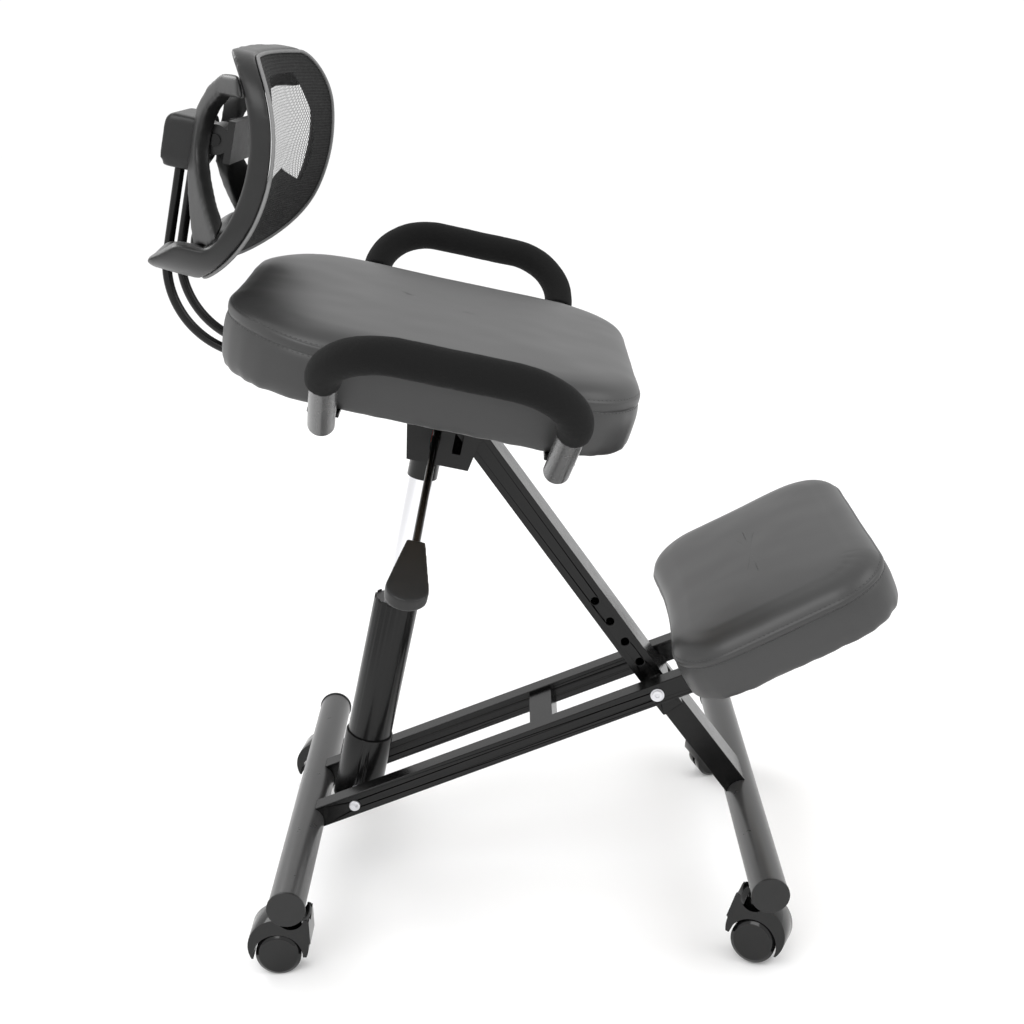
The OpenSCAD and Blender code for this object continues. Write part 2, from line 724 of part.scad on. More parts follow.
// near strut, a bowed band from the hub to the frame, drawn in its own plane
module strut_plate() {
    outer = [[124, 332], [60, 325], [30, 310], [10, 291], [-2, 276], [-2, 236], [4, 220],
        [20, 194], [40, 170], [60, 150], [76, 136]];
    inner = [[112, 178], [86, 190], [58, 206], [38, 222], [26, 236], [20, 248], [20, 262],
        [26, 277], [38, 290], [62, 305], [124, 311]];
    translate([-281, -45, 0]) rotate([0, 0, -56.6]) rotate([90, 0, 0])
        linear_extrude(height = 16, center = true) polygon(concat(outer, inner));
}
module back_struts() {
    color("black") at_back() difference() {
        intersection() {
            sides() strut_plate();
            shell(0, back_in) back_outline(2);
        }
        back_lip();
        translate([-400, -hub_y, 200]) cube([300, 2 * hub_y, 120]);
        translate([tilt_u, 0, tilt_w])
            ybar(pin_head_d + 2 * pin_head_gap, 2 * (hub_y + pin_head_h + pin_head_gap));
    }
}
module back_mesh() { color("dimgray") at_back() shell(back_r, back_r + 2) back_outline(6); }
module back_binding() {
    color("gray") at_back() shell(back_r, back_r + 3) outline_ring(1, 6);
}

// ---------- casters ----------
// height of a crossbar axis above the axle, along a stem that leans and is turned
function drop(lean, turn) = let (tip = abs(sin(turn) * sin(lean)))
    (crossbar_z - caster_trail * cos(turn) * sin(lean) - wheel_r * sqrt(1 - tip * tip)
        - (wheel_w - 0.4) * tip) / cos(lean);
function lean_of(i) = i < 2 ? 0 : front_lean;
function drop_of(i) = drop(lean_of(i), swivel[i]);
// caster frame: the stem is along Z, the axle is at height zero and the wheels trail along +X
module at_caster(i) {
    translate([i < 2 ? rear_x : front_x, (i % 2 == 0 ? -1 : 1) * caster_y, crossbar_z])
        rotate([0, lean_of(i), 0]) rotate([0, 0, swivel[i]]) translate([0, 0, -drop_of(i)])
            children();
}
module hood_side() {
    difference() {
        union() {
            translate([caster_trail - 1, 12]) circle(hood_out);
            translate([-19, 14]) square([caster_trail + 18, 27]);
            translate([-14, 38]) circle(5);
            translate([-14, 14]) square([caster_trail + 13, 29]);
            polygon([[-19, 15], [-11, 5], [caster_trail, 5], [caster_trail, 15]]);
        }
        translate([caster_trail, 0]) circle(hood_in);
        translate([caster_trail - 60, -60]) square([120, 58]);
        translate([-30, 40]) square([11, 10]);
    }
}
module hood(i) {
    color("black") at_caster(i) difference() {
        union() {
            difference() {
                rotate([90, 0, 0]) linear_extrude(height = 2 * hood_y, center = true) hood_side();
                translate([0, 0, 46]) sphere(r = 22);
            }
            translate([0, 0, wheel_r + 3]) cylinder(d = stem_d + 6, h = 14);
            translate([caster_trail, 0, 0]) ybar(22, 4);
            translate([0, -2, 4]) cube([caster_trail, 4, hood_in]);
        }
        translate([0, 0, wheel_r + 1]) cylinder(d = stem_d, h = 60);
        translate([caster_trail, 0, 0]) ybar(axle_d, 60);
    }
}
module pins(i) {
    color("silver") at_caster(i) {
        translate([0, 0, wheel_r + 1])
            cylinder(d = stem_d, h = drop_of(i) + crossbar_d / 2 - crossbar_wall - wheel_r - 3);
        translate([caster_trail, 0, 0]) ybar(axle_d, 2 * wheel_w - 2);
    }
}
module wheels(i) {
    color("dimgray") at_caster(i) translate([caster_trail, 0, 0]) sides() difference() {
        translate([0, -2.6, 0]) rotate([90, 0, 0]) {
            cylinder(d = wheel_d, h = wheel_w - 3);
            translate([0, 0, wheel_w - 3]) cylinder(d1 = wheel_d, d2 = wheel_d - 8, h = 3);
        }
        translate([0, -2, 0]) rotate([90, 0, 0]) cylinder(d = axle_d + 2 * run, h = wheel_w - 2);
    }
}
module hood_rn() { hood(0); }
module hood_rf() { hood(1); }
module hood_fn() { hood(2); }
module hood_ff() { hood(3); }
module pins_rn() { pins(0); }
module pins_rf() { pins(1); }
module pins_fn() { pins(2); }
module pins_ff() { pins(3); }
module wheels_rn() { wheels(0); }
module wheels_rf() { wheels(1); }
module wheels_fn() { wheels(2); }
module wheels_ff() { wheels(3); }

rear_crossbar();
front_crossbar();
rear_caps();
front_caps();
near_rail();
far_rail();
cross_brace();
front_leg();
leg_cheeks();
pivot_bolt();
pivot_spacers();
socket_bolt();
socket_spacers();
knee_wedges();
knee_plate();
knee_board();
knee_cushion();
knee_screws();
gas_socket();
socket_plug();
outer_tube();
guide_bush();
piston_rod();
seat_beam();
seat_bracket();
column();
column_seal();
seat_pin();
seat_board();
seat_cushion();
seat_screws();
near_handle();
far_handle();
handle_feet();
near_grip();
far_grip();
back_bars();
bar_clamp();
lever();
lever_paddle();
release_button();
slide_housing();
back_hub();
tilt_pin();
back_ring();
back_struts();
back_mesh();
back_binding();
hood_rn();
hood_rf();
hood_fn();
hood_ff();
pins_rn();
pins_rf();
pins_fn();
pins_ff();
wheels_rn();
wheels_rf();
wheels_fn();
wheels_ff();
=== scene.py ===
import json
import math

import bmesh
import bpy
from mathutils import Matrix, Vector, noise

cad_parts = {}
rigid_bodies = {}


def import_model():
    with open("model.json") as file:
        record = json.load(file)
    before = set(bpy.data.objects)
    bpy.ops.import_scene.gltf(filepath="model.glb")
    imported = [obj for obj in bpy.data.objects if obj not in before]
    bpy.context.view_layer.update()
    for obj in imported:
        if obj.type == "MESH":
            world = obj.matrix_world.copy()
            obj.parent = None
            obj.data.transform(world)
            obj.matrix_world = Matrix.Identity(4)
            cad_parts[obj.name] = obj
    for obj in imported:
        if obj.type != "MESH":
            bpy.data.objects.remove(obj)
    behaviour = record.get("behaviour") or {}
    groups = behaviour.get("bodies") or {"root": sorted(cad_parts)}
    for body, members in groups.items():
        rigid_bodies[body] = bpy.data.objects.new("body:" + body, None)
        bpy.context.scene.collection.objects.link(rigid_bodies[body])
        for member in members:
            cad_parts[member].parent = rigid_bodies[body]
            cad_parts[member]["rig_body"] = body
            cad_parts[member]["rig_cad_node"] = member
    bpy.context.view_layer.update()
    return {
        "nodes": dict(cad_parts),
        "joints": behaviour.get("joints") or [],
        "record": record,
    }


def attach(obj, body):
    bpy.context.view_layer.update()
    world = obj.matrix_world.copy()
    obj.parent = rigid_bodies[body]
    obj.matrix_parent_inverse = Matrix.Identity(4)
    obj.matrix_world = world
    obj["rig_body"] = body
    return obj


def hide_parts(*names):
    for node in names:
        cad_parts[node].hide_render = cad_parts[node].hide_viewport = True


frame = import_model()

bl_info = {
    "name": "Kneeling Chair",
    "version": (1, 0, 0),
    "blender": (4, 5, 0),
    "location": "View3D > Sidebar > Chair",
    "description": "Upholstery, mesh back rest and finishes for a kneeling chair on a steel frame",
    "category": "Add Mesh",
}

MM = 0.001
NODES = frame["nodes"]
JOINTS = {joint["name"]: joint for joint in frame["joints"]}
BODY_OF = {
    node: body for body, members in frame["record"]["behaviour"]["bodies"].items() for node in members
}
SLOT_OF = {part["node"]: part["material_slot"] for part in frame["record"]["subparts"]}
CASTERS = ("rn", "rf", "fn", "ff")


# ---------- places taken from the frame ----------
def placed(origin, ahead, up):
    """Matrix of a local frame: x ahead, y to the sitter's left, z up."""
    side = up.cross(ahead)
    turn = Matrix((ahead, side, up)).transposed().to_4x4()
    return Matrix.Translation(origin) @ turn


def joint_place(name):
    return Vector(JOINTS[name]["pos_m"])


LIFT_LEN = 438 * MM
SEAT_UP = Vector(JOINTS["seat_height"]["axis"]).normalized()
SEAT_AHEAD = Vector((0, 1, 0)).cross(SEAT_UP)
SEAT = placed(joint_place("lift_lean") + LIFT_LEN * SEAT_UP, SEAT_AHEAD, SEAT_UP)

BACK_YAW = math.radians(-4)
YAW_PLACE = Matrix.Translation((-160 * MM, 0, 0))
BACK = SEAT @ YAW_PLACE @ Matrix.Rotation(BACK_YAW, 4, "Z") @ YAW_PLACE.inverted()

RAIL_AHEAD = (joint_place("beam_swing") - joint_place("lift_lean")).normalized()
RAIL_UP = RAIL_AHEAD.cross(Vector((0, 1, 0)))
KNEE_TURN = Matrix.Rotation(math.radians(-5.6), 3, "Y")
KNEE = placed(
    joint_place("beam_swing") + 40 * MM * RAIL_AHEAD + 12.5 * MM * RAIL_UP,
    KNEE_TURN @ RAIL_AHEAD,
    KNEE_TURN @ RAIL_UP,
)


# ---------- sizes and colours a user would change ----------
def length(name, text, default):
    return bpy.props.FloatProperty(
        name=name, description=text, default=default, min=0.0, subtype="DISTANCE", unit="LENGTH"
    )


def colour(name, text, grey, tint=(1, 1, 1)):
    return bpy.props.FloatVectorProperty(
        name=name, description=text, default=tuple(grey * t for t in tint), size=3, min=0, max=1,
        subtype="COLOR",
    )


class ChairSizes(bpy.types.PropertyGroup):
    seat_length: length("Seat length", "Seat cushion from rear to front", 0.414)
    seat_width: length("Seat width", "Seat cushion from side to side", 0.400)
    seat_rear_corner: length("Rear corners", "Plan radius of the seat's rear corners", 0.112)
    seat_front_corner: length("Front corners", "Plan radius of the seat's front corners", 0.090)
    knee_length: length("Knee pad length", "Knee pad along the rails", 0.245)
    knee_width: length("Knee pad width", "Knee pad from side to side", 0.334)
    knee_corner: length("Knee pad corners", "Plan radius of the knee pad's corners", 0.064)
    stitch_pitch: length("Stitch pitch", "Distance from stitch to stitch", 0.0052)
    mesh_pitch: length("Mesh pitch", "Distance between the holes of the sheer back panel", 0.0052)
    piping: length("Piping", "Diameter of the piping around the back mesh", 0.0036)
    edge_round: length("Edge rounding", "Rounding of the edges of the steel parts", 0.0009)


class ChairColours(bpy.types.PropertyGroup):
    leather: colour("Leather", "Cover of the seat and the knee pad", 0.005)
    # The thread is lighter than the leather as a painted highlight: it stands in for the glints on the dark
    # stitches.
    thread: colour("Thread", "Sewing thread of the cushions", 0.030)
    frame: colour("Frame", "Powder coat of the steel frame", 0.003)
    tube: colour("Tubes", "Satin coat of the crossbars", 0.042)
    handle: colour("Handles", "Satin coat of the handle tubes", 0.050)
    plastic: colour("Plastic", "Moulded plastic of the back frame", 0.008)
    foam: colour("Foam", "Foam of the hand grips", 0.004)
    knit: colour("Knit", "Knitted mesh of the back rest", 0.004)
    piping: colour("Piping", "Piping around the back mesh", 0.16)
    plywood: colour("Plywood", "Boards under the cushions", 0.42, (1.0, 0.74, 0.48))
    button: colour("Button", "Release button of the gas lift", 0.55, (1.0, 0.08, 0.06))
    floor: colour("Floor", "Floor of the studio", 0.97)


# ---------- mesh helpers ----------
def only(piece):
    """Select and activate one object."""
    bpy.ops.object.select_all(action="DESELECT")
    piece.select_set(True)
    bpy.context.view_layer.objects.active = piece


def mesh_piece(name, points, faces):
    mesh = bpy.data.meshes.new(name)
    mesh.from_pydata([tuple(p) for p in points], [], faces)
    piece = bpy.data.objects.new(name, mesh)
    bpy.context.scene.collection.objects.link(piece)
    only(piece)
    return piece


def apply_modifier(piece, kind, **settings):
    only(piece)
    modifier = piece.modifiers.new(kind.title(), kind)
    for key, value in settings.items():
        setattr(modifier, key, value)
    bpy.ops.object.modifier_apply(modifier=modifier.name)


def finish_piece(piece, body, material, smooth=None):
    """Give a piece its shading, finish and body."""
    only(piece)
    if smooth is None:
        bpy.ops.object.shade_smooth()
    else:
        bpy.ops.object.shade_smooth_by_angle(angle=math.radians(smooth))
    piece.data.materials.clear()
    piece.data.materials.append(bpy.data.materials[material])
    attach(piece, body)
    return piece


def displace(piece, move):
    """Move each vertex by move(place, normal)."""
    normals = [v.normal.copy() for v in piece.data.vertices]
    for vertex, normal in zip(piece.data.vertices, normals):
        vertex.co = vertex.co + move(vertex.co.copy(), normal)
    piece.data.update()


def merged_copy(node, name):
    """Copy of a CAD node with its loose triangles joined."""
    piece = NODES[node].copy()
    piece.data = NODES[node].data.copy()
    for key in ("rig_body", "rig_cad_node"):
        if key in piece:
            del piece[key]
    piece.parent = None
    piece.name = name
    piece.data.name = name
    bpy.context.scene.collection.objects.link(piece)
    if piece.data.has_custom_normals:
        only(piece)
        bpy.ops.mesh.customdata_custom_splitnormals_clear()
    shape = bmesh.new()
    shape.from_mesh(piece.data)
    bmesh.ops.remove_doubles(shape, verts=shape.verts, dist=0.00002)
    shape.to_mesh(piece.data)
    shape.free()
    return piece


def moulded_copy(node, name, voxel, passes):
    """Copy of a CAD node with its edges rounded the way a moulding's are."""
    piece = merged_copy(node, name)
    only(piece)
    piece.data.remesh_voxel_size = voxel
    bpy.ops.object.voxel_remesh()
    apply_modifier(piece, "SMOOTH", factor=0.5, iterations=passes)
    return piece


def soften(piece, passes, share):
    """Round a moulding further where share(place) is above nought."""
    before = [v.co.copy() for v in piece.data.vertices]
    apply_modifier(piece, "SMOOTH", factor=0.5, iterations=passes)
    for vertex, old in zip(piece.data.vertices, before):
        vertex.co = old.lerp(vertex.co, share(old))


def smoothstep(low, high, value):
    t = min(max((value - low) / (high - low), 0.0), 1.0)
    return t * t * (3 - 2 * t)


# ---------- outlines ----------
def corner_outline(x0, x1, half_w, radii, inset, count):
    """Closed outline with rounded corners; radii are rear right, front right, front left, rear left.

    The number of points doesn't depend on the inset, so outlines can be bridged."""
    x0, x1, half_w = x0 + inset, x1 - inset, half_w - inset
    limit = min((x1 - x0) / 2, half_w)
    r = [min(max(radius - inset, radius * 0.3), limit * 0.999) for radius in radii]
    corners = [
        (x0 + r[0], -half_w + r[0], r[0], 180),
        (x1 - r[1], -half_w + r[1], r[1], 270),
        (x1 - r[2], half_w - r[2], r[2], 0),
        (x0 + r[3], half_w - r[3], r[3], 90),
    ]
    points = []
    for i, (cx, cy, radius, start) in enumerate(corners):
        for k in range(count):
            angle = math.radians(start + 90 * k / (count - 1))
            points.append((cx + radius * math.cos(angle), cy + radius * math.sin(angle)))
        nx, ny, nr, nstart = corners[(i + 1) % 4]
        ahead = (nx + nr * math.cos(math.radians(nstart)), ny + nr * math.sin(math.radians(nstart)))
        last = points[-1]
        for k in range(1, count):
            t = k / count
            points.append((last[0] + (ahead[0] - last[0]) * t, last[1] + (ahead[1] - last[1]) * t))
    return points


def lofted(name, rings, matrix, close_first, close_last):
    """Surface through rings of equal length, in a local frame, with its ends closed by fans."""
    count = len(rings[0])
    points = [matrix @ Vector(p) for ring in rings for p in ring]
    faces = []
    for i in range(len(rings) - 1):
        for j in range(count):
            k = (j + 1) % count
            faces.append((i * count + j, i * count + k, (i + 1) * count + k, (i + 1) * count + j))
    for wanted, start, order in ((close_first, 0, -1), (close_last, (len(rings) - 1) * count, 1)):
        if not wanted:
            continue
        middle = sum((points[start + j] for j in range(count)), Vector()) / count
        points.append(middle)
        for j in range(count):
            a, b = start + j, start + (j + 1) % count
            faces.append((a, b, len(points) - 1) if order > 0 else (b, a, len(points) - 1))
    return mesh_piece(name, points, faces)


# ---------- cushions ----------
class Cushion:
    """Plan and edge profile of a sewn cushion, in millimetres in its own frame."""

    def __init__(self, matrix, x0, x1, half_w, radii, base, scoop, rise):
        self.matrix, self.base, self.scoop, self.rise = matrix, base, scoop, rise
        self.plan = (x0, x1, half_w, radii)
        self.x0, self.x1, self.half_w = x0, x1, half_w

    def ring(self, inset, height, count=26):
        points = []
        for x, y in corner_outline(*self.plan, inset, count):
            rear = smoothstep(self.x0 + 150, self.x0, x)
            middle = max(0.0, 1 - (y / self.half_w) ** 2)
            x += self.scoop * rear * middle * middle
            lift = self.rise * smoothstep(self.x0 + 110, self.x0, x) * smoothstep(20, 50, height)
            lift *= 1 - smoothstep(56, 68, height)
            points.append((x * MM, y * MM, (self.base + height + lift) * MM))
        return points


def crown_rings(cushion, edge, shoulder, top, reach):
    """Rings from the upper seam over the shoulder to the crown's middle."""
    rings = []
    for inset, share in ((4, 0.30), (8, 0.55), (13, 0.74), (19, 0.87), (26, 0.95)):
        rings.append(cushion.ring(inset, edge + (shoulder - edge) * share))
    steps = 18
    for k in range(steps):
        t = (k + 1) / steps
        inset = 26 + (reach - 26) * t
        rings.append(cushion.ring(inset, shoulder + (top - shoulder) * (1 - (1 - t) ** 2.2)))
    return rings


def seat_shape():
    sizes = bpy.context.scene.chair_sizes
    half = sizes.seat_length / MM / 2
    rear, front = sizes.seat_rear_corner / MM, sizes.seat_front_corner / MM
    return Cushion(
        SEAT, -12.5 - half, -12.5 + half, sizes.seat_width / MM / 2, (rear, front, front, rear), 55, 0, 5
    )


def knee_shape():
    sizes = bpy.context.scene.chair_sizes
    corner = sizes.knee_corner / MM
    return Cushion(
        KNEE, -3, -3 + sizes.knee_length / MM, sizes.knee_width / MM / 2, (corner,) * 4, 3, 9, 0
    )


def cushion_piece(name, cushion, board_inset, board_top, profile, crown):
    """Closed cushion skin: pocket for the board, turned-in lower edge, side panel, seams and crown."""
    pocket = ((board_inset + 40, board_top), (board_inset, board_top), (board_inset, -0.6))
    rings = [cushion.ring(inset, height) for inset, height in pocket + profile]
    rings += crown_rings(cushion, *crown)
    return lofted(name, rings, cushion.matrix, True, True)


def creases(folds):
    """Sum of grooves; a fold is two end points, a width and a depth, in metres."""

    def depth(place):
        total = 0.0
        for start, end, width, groove in folds:
            line = end - start
            t = min(max((place - start).dot(line) / line.length_squared, 0.0), 1.0)
            gap = (place - start - line * t).length
            if gap < 4 * width:
                fade = math.sin(math.pi * min(max(t, 0.04), 0.96))
                total += groove * fade * math.exp(-((gap / width) ** 2))
        return total

    return depth


def leather_relief(cushion, folds, swell):
    """Movement of the skin: soft hollows, pulled side panels and creases."""
    inverse = cushion.matrix.inverted()
    fold_depth = creases(folds)

    def move(place, normal):
        local = inverse @ place
        height = local.z / MM - cushion.base
        broad = noise.noise(local * 11.0) * 1.1 + noise.noise(local * 27.0) * 0.45
        side = smoothstep(2, 12, height) * (1 - smoothstep(44, 52, height))
        pleats = noise.noise(Vector((local.x * 60, local.y * 60, local.z * 9))) * 0.55
        hem = (1 - smoothstep(4, 13, height)) * noise.noise(local * 75.0) * 1.3
        amount = broad * smoothstep(1, 8, height) + side * (pleats + swell)
        amount += hem * smoothstep(-3, 1, height)
        return normal * (amount * MM - fold_depth(local))

    return move


def stitch_rows(name, cushion, rows, relief_piece, body):
    """Two or more rows of single stitches that lie on the skin of a cushion."""
    pitch = bpy.context.scene.chair_sizes.stitch_pitch
    bpy.ops.object.select_all(action="DESELECT")
    bpy.ops.mesh.primitive_uv_sphere_add(segments=6, ring_count=4, radius=1.0)
    pattern = bpy.context.active_object
    shape = [v.co.copy() for v in pattern.data.vertices]
    shape_faces = [tuple(p.vertices) for p in pattern.data.polygons]
    bpy.data.objects.remove(pattern)
    points, faces = [], []
    for inset, height in rows:
        loop = [cushion.matrix @ Vector(p) for p in cushion.ring(inset, height, 40)]
        travelled, next_at = 0.0, 0.0
        for a, b in zip(loop, loop[1:] + loop[:1]):
            step = (b - a).length
            while next_at <= travelled + step and step > 1e-9:
                at = a.lerp(b, (next_at - travelled) / step)
                along = (b - a).normalized()
                _, skin, out, _ = relief_piece.closest_point_on_mesh(at)
                up = along.cross(out).normalized()
                turn = Matrix((along, up, out)).transposed()
                scale = Vector((pitch * 0.34, 0.00042, 0.00034))
                base = len(points)
                for p in shape:
                    bend = -0.00018 * (p.x ** 2)
                    local = Vector((p.x * scale.x, p.y * scale.y, p.z * scale.z + bend))
                    points.append(skin + turn @ local + out * 0.0001)
                faces += [tuple(base + i for i in f) for f in shape_faces]
                next_at += pitch
            travelled += step
    piece = mesh_piece(name, points, faces)
    return finish_piece(piece, body, "thread")


# ---------- back rest ----------
BACK_ARC = (-390.0, 250.0, 184.0)
BACK_WRAP = 314.0
BACK_WIDTH, BACK_LOW, BACK_HEIGHT = 300.0, 123.0, 226.0


def back_surface(y, w, proud):
    """Point of the back rest's curved face, proud of the frame, in millimetres of its own frame."""
    arc_u, arc_w, radius = BACK_ARC
    rho = BACK_WRAP - arc_u - math.sqrt((radius + proud) ** 2 - (w - arc_w) ** 2)
    return Vector((BACK_WRAP - math.sqrt(rho * rho - y * y), y, w)) * MM


def behind_face(place):
    """0 at the mesh side of the back frame, 1 well behind it."""
    local = BACK.inverted() @ place
    front = back_surface(local.y / MM, local.z / MM, 0).x
    return smoothstep(5 * MM, 18 * MM, front - local.x)


def back_outline(inset, count):
    """Outline of the back frame as (y, w) pairs."""
    middle = BACK_LOW + BACK_HEIGHT / 2
    half_h, half_w = BACK_HEIGHT / 2, BACK_WIDTH / 2
    loop = corner_outline(-half_h, half_h, half_w, (78, 55, 55, 78), inset, count)
    return [(y, middle + x) for x, y in loop]


# ---------- materials ----------
def new_group(name, inputs, outputs):
    group = bpy.data.node_groups.new(name, "ShaderNodeTree")
    for label, kind, value in inputs:
        socket = group.interface.new_socket(name=label, in_out="INPUT", socket_type=kind)
        if value is not None:
            socket.default_value = value
    for label, kind in outputs:
        group.interface.new_socket(name=label, in_out="OUTPUT", socket_type=kind)
    return group


class Tree:
    """Short way to add and join shader nodes."""

    def __init__(self, tree):
        self.tree = tree

    def add(self, kind, settings=(), **inputs):
        node = self.tree.nodes.new(kind)
        for key, value in dict(settings).items():
            setattr(node, key, value)
        for key, value in inputs.items():
            self.feed(node.inputs[key.replace("_", " ")], value)
        return node

    def feed(self, socket, value):
        if isinstance(value, bpy.types.NodeSocket):
            self.tree.links.new(value, socket)
        else:
            socket.default_value = value

    def math(self, operation, a, b=0.0, c=0.0):
        node = self.tree.nodes.new("ShaderNodeMath")
        node.operation = operation
        for socket, value in zip(node.inputs, (a, b, c)):
            self.feed(socket, value)
        return node.outputs[0]

    def noise(self, vector, scale, detail=3.0, rough=0.55):
        node = self.add("ShaderNodeTexNoise", Vector=vector, Scale=scale, Detail=detail, Roughness=rough)
        return node.outputs["Fac"]

    def spread(self, value, low, high, out_low, out_high):
        node = self.add("ShaderNodeMapRange", Value=value)
        limits = {"From Min": low, "From Max": high, "To Min": out_low, "To Max": out_high}
        for label, number in limits.items():
            self.feed(node.inputs[label], number)
        return node.outputs["Result"]

    def blend(self, factor, first, second):
        node = self.add("ShaderNodeMix", {"data_type": "RGBA"})
        self.feed(node.inputs[0], factor)
        self.feed(node.inputs[6], first)
        self.feed(node.inputs[7], second)
        return node.outputs[2]


def build_grain_group():
    """Fine even grain: moulded texture, orange peel or foam."""
    group = new_group(
        "fine_grain",
        (("Vector", "NodeSocketVector", None), ("Scale", "NodeSocketFloat", 900.0),
         ("Coarse", "NodeSocketFloat", 0.3)),
        (("Height", "NodeSocketFloat"),),
    )
    t = Tree(group)
    source = t.add("NodeGroupInput")
    fine = t.noise(source.outputs["Vector"], source.outputs["Scale"], 2.0, 0.5)
    wide = t.noise(source.outputs["Vector"], t.math("MULTIPLY", source.outputs["Scale"], 0.21), 2.0, 0.5)
    height = t.math("MULTIPLY_ADD", wide, source.outputs["Coarse"], fine)
    t.add("NodeGroupOutput", Height=height)


def build_tone_group():
    """Uneven tone: handling marks and dust that change colour and roughness a little."""
    group = new_group(
        "uneven_tone",
        (("Vector", "NodeSocketVector", None), ("Colour", "NodeSocketColor", (0.1, 0.1, 0.1, 1)),
         ("Dust", "NodeSocketColor", (0.2, 0.2, 0.2, 1)), ("Amount", "NodeSocketFloat", 0.1),
         ("Roughness", "NodeSocketFloat", 0.4), ("Swing", "NodeSocketFloat", 0.08)),
        (("Colour", "NodeSocketColor"), ("Roughness", "NodeSocketFloat")),
    )
    t = Tree(group)
    source = t.add("NodeGroupInput")
    patches = t.noise(source.outputs["Vector"], 14.0, 5.0, 0.6)
    streaks = t.noise(source.outputs["Vector"], 70.0, 4.0, 0.65)
    both = t.math("MULTIPLY_ADD", streaks, 0.5, t.math("MULTIPLY", patches, 0.5))
    mask = t.spread(both, 0.42, 0.68, 0.0, 1.0)
    mixed = t.blend(t.math("MULTIPLY", mask, source.outputs["Amount"]), source.outputs["Colour"],
                    source.outputs["Dust"])
    swing = t.math("MULTIPLY", t.math("SUBTRACT", both, 0.5), source.outputs["Swing"])
    rough = t.math("ADD", source.outputs["Roughness"], t.math("MULTIPLY", swing, 4.0))
    t.add("NodeGroupOutput", Colour=mixed, Roughness=rough)


def group_node(t, name, **inputs):
    node = t.tree.nodes.new("ShaderNodeGroup")
    node.node_tree = bpy.data.node_groups[name]
    for key, value in inputs.items():
        t.feed(node.inputs[key], value)
    return node


def new_material(name, **constants):
    """Empty material with a Principled shader whose constants are set on its own sockets."""
    material = bpy.data.materials.new(name)
    material.use_nodes = True
    tree = material.node_tree
    tree.nodes.clear()
    t = Tree(tree)
    output = t.add("ShaderNodeOutputMaterial")
    shader = t.add("ShaderNodeBsdfPrincipled")
    tree.links.new(shader.outputs[0], output.inputs[0])
    for key, value in constants.items():
        shader.inputs[key.replace("_", " ")].default_value = value
    coordinates = t.add("ShaderNodeTexCoord").outputs["Object"]
    return t, shader, coordinates


def relief(t, shader, height, distance, strength=1.0):
    bump = t.add("ShaderNodeBump", Height=height, Strength=strength, Distance=distance)
    t.feed(shader.inputs["Normal"], bump.outputs["Normal"])


def rgba(value, gain=1.0):
    return tuple(min(1.0, channel * gain) for channel in value) + (1.0,)


def coated(name, tone, roughness, grain, depth, coarse=0.4, dust=0.10, swing=0.05, **constants):
    """Painted, moulded or rubbery finish with a fine grain and an uneven tone."""
    t, shader, place = new_material(name, **constants)
    tint = group_node(
        t, "uneven_tone", Vector=place, Colour=rgba(tone), Dust=rgba(tone, 2.6), Amount=dust,
        Roughness=roughness, Swing=swing,
    )
    t.feed(shader.inputs["Base Color"], tint.outputs["Colour"])
    t.feed(shader.inputs["Roughness"], tint.outputs["Roughness"])
    surface = group_node(t, "fine_grain", Vector=place, Scale=grain, Coarse=coarse)
    relief(t, shader, surface.outputs["Height"], depth)
    return t, shader, place


def turned_metal(name, tone, roughness, scale, depth, **constants):
    """Bare or plated metal with fine tool marks."""
    t, shader, place = new_material(name, Metallic=1.0, **constants)
    tint = group_node(
        t, "uneven_tone", Vector=place, Colour=rgba(tone), Dust=rgba(tone, 0.55), Amount=0.35,
        Roughness=roughness, Swing=0.08,
    )
    t.feed(shader.inputs["Base Color"], tint.outputs["Colour"])
    t.feed(shader.inputs["Roughness"], tint.outputs["Roughness"])
    marks = t.add("ShaderNodeMapping", Vector=place, Scale=(scale, scale, scale * 0.08))
    relief(t, shader, t.noise(marks.outputs["Vector"], 1.0, 3.0), depth)


def leather_material(tone):
    """Soft synthetic leather: pebbled grain with painted shade in its grooves, fine pores and slow changes
    in gloss.
    """
    t, shader, place = new_material("leather", Specular_IOR_Level=0.20)
    tint = group_node(
        t, "uneven_tone", Vector=place, Colour=rgba(tone), Dust=rgba(tone, 1.7), Amount=0.30,
        Roughness=0.34, Swing=0.10,
    )
    warp = t.add("ShaderNodeTexNoise", Vector=place, Scale=160.0, Detail=2.0)
    bent = t.add("ShaderNodeVectorMath", {"operation": "MULTIPLY_ADD"})
    t.feed(bent.inputs[0], warp.outputs["Color"])
    t.feed(bent.inputs[1], (0.0016, 0.0016, 0.0016))
    t.feed(bent.inputs[2], place)
    edges = {"feature": "DISTANCE_TO_EDGE"}
    cells = t.add("ShaderNodeTexVoronoi", edges, Vector=bent.outputs[0], Scale=560.0)
    pebble = t.spread(cells.outputs["Distance"], 0.0, 0.32, 0.0, 1.0)
    pores = t.noise(place, 1900.0, 2.0)
    folds = t.noise(place, 210.0, 4.0, 0.6)
    height = t.math("MULTIPLY_ADD", pores, 0.35, t.math("MULTIPLY_ADD", folds, 0.8, pebble))
    relief(t, shader, height, 0.00010, 0.75)
    # Painted shade: the colour darkens towards half the tone along the pebbles' edges, which are the
    # hollows of the grain.
    groove_shade = t.spread(pebble, 0.0, 0.4, 0.35, 0.0)
    t.feed(shader.inputs["Base Color"], t.blend(groove_shade, tint.outputs["Colour"], rgba(tone, 0.5)))
    t.feed(shader.inputs["Roughness"], tint.outputs["Roughness"])


